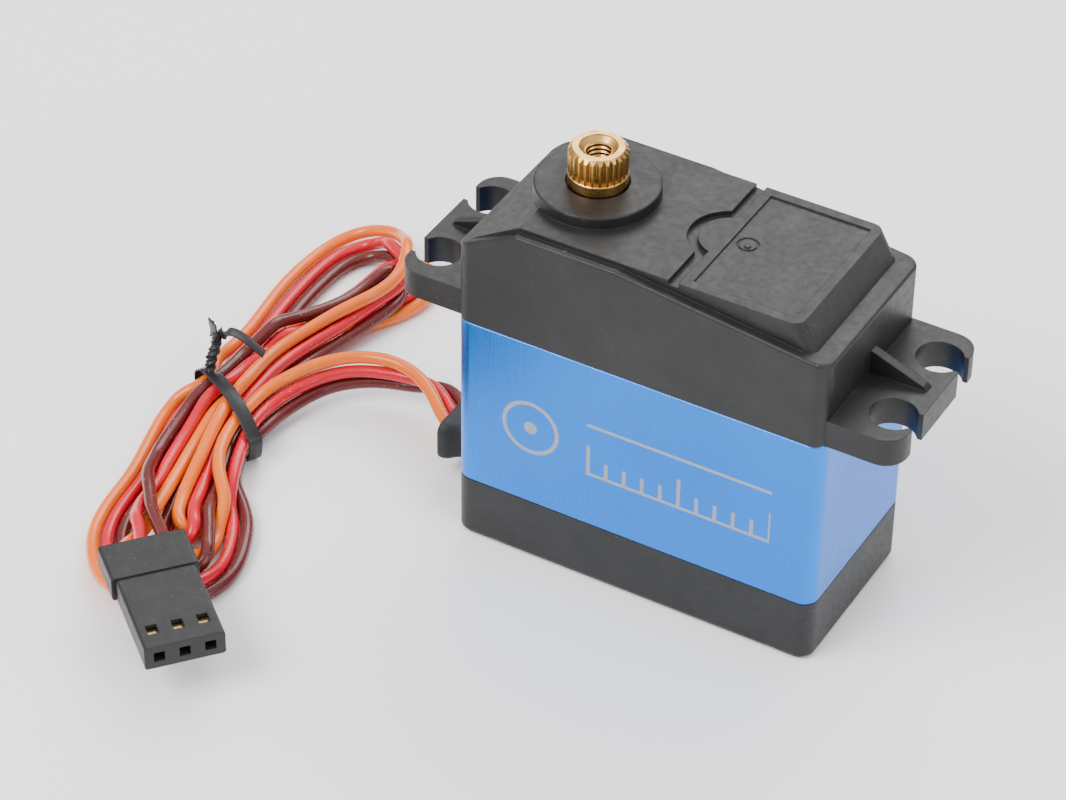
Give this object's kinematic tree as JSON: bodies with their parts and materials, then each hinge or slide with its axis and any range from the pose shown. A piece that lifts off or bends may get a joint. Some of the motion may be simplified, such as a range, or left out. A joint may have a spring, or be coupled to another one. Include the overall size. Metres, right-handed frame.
{
  "type": "hobby servo motor",
  "caption": "Rectangular hobby servo motor with metal centre case, geared splined output shaft, mounting flanges, and a coiled three-wire lead with plug.",
  "frame": {"origin": "on the output shaft axis, at the underside of the bottom cover", "axes": "+Z along the output shaft, out of the case; +X along the case, from the output shaft towards the motor end"},
  "size_m": [0.0845, 0.0749, 0.045],
  "materials": {
    "black_plastic": "fine moulded texture, slightly dusty",
    "blue_anodised": "satin anodised aluminium",
    "dark_screw": "darkened steel",
    "bright_screw": "bright steel",
    "gear_brass": "machined",
    "bearing_steel": "ground",
    "pin_steel": "ground",
    "motor_steel": "plated can",
    "motor_plastic": "moulded",
    "copper_core": "wound core",
    "contact_brass": "stamped",
    "contact_tin": "tinned",
    "contact_gold": "plated",
    "pot_shell": "moulded",
    "pot_spindle": "turned",
    "board_green": "solder mask",
    "chip_black": "moulded package",
    "passive_tan": "small surface parts",
    "black_rubber": "moulded",
    "wire_orange": "glossy insulation",
    "wire_red": "glossy insulation",
    "wire_brown": "glossy insulation",
    "plug_black": "moulded",
    "tie_black": "extruded tape"
  },
  "bodies": {
    "case": {"board_passives": "passive_tan", "bottom_cover": "black_plastic", "case_screws": "dark_screw", "circuit_board": "board_green", "connector_housing": "plug_black", "connector_terminals": "contact_gold", "driver_chip": "chip_black", "mid_case": "blue_anodised", "mid_pin": "pin_steel", "motor_can": "motor_steel", "motor_endbell": "motor_plastic", "motor_screws": "bright_screw", "motor_terminals": "contact_brass", "output_bearing_lower": "bearing_steel", "output_bearing_top": "bearing_steel", "pot_body": "pot_shell", "pot_terminals": "contact_tin", "strain_relief": "black_rubber", "top_case": "black_plastic", "twist_tie": "tie_black", "wire_ground": "wire_brown", "wire_power": "wire_red", "wire_signal": "wire_orange"},
    "output": {"output_gear": "gear_brass", "pot_shaft": "pot_spindle"},
    "gear_3": {"compound_gear_3": "gear_brass"},
    "gear_2": {"compound_gear_2": "gear_brass"},
    "gear_1": {"compound_gear_1": "gear_brass"},
    "rotor": {"motor_armature": "copper_core", "motor_pinion": "gear_brass"}
  },
  "joints": [
    {"name": "output_spin", "type": "hinge", "parent": "case", "child": "output", "pos_m": [0, 0, 0.03], "axis": [0, 0, 1], "range_deg": [-90, 90]},
    {"name": "gear_3_spin", "type": "hinge", "parent": "case", "child": "gear_3", "pos_m": [0.01, 0, 0.03], "axis": [0, 0, 1], "range_deg": [-271, 271]},
    {"name": "gear_2_spin", "type": "hinge", "parent": "case", "child": "gear_2", "pos_m": [0, 0, 0.03], "axis": [0, 0, 1], "range_deg": [-856, 856]},
    {"name": "gear_1_spin", "type": "hinge", "parent": "case", "child": "gear_1", "pos_m": [0.01, 0, 0.03], "axis": [0, 0, 1], "range_deg": [-2710, 2710]},
    {"name": "rotor_spin", "type": "hinge", "parent": "case", "child": "rotor", "pos_m": [0.0196, 0, 0.03], "axis": [0, 0, 1], "range_deg": [-14630, 14630]}
  ],
  "couplings": [
    {"joint": "gear_3_spin", "follows": "output_spin", "ratio": -3},
    {"joint": "gear_2_spin", "follows": "output_spin", "ratio": 9.5},
    {"joint": "gear_1_spin", "follows": "output_spin", "ratio": -30.083},
    {"joint": "rotor_spin", "follows": "output_spin", "ratio": 162.45}
  ]
}
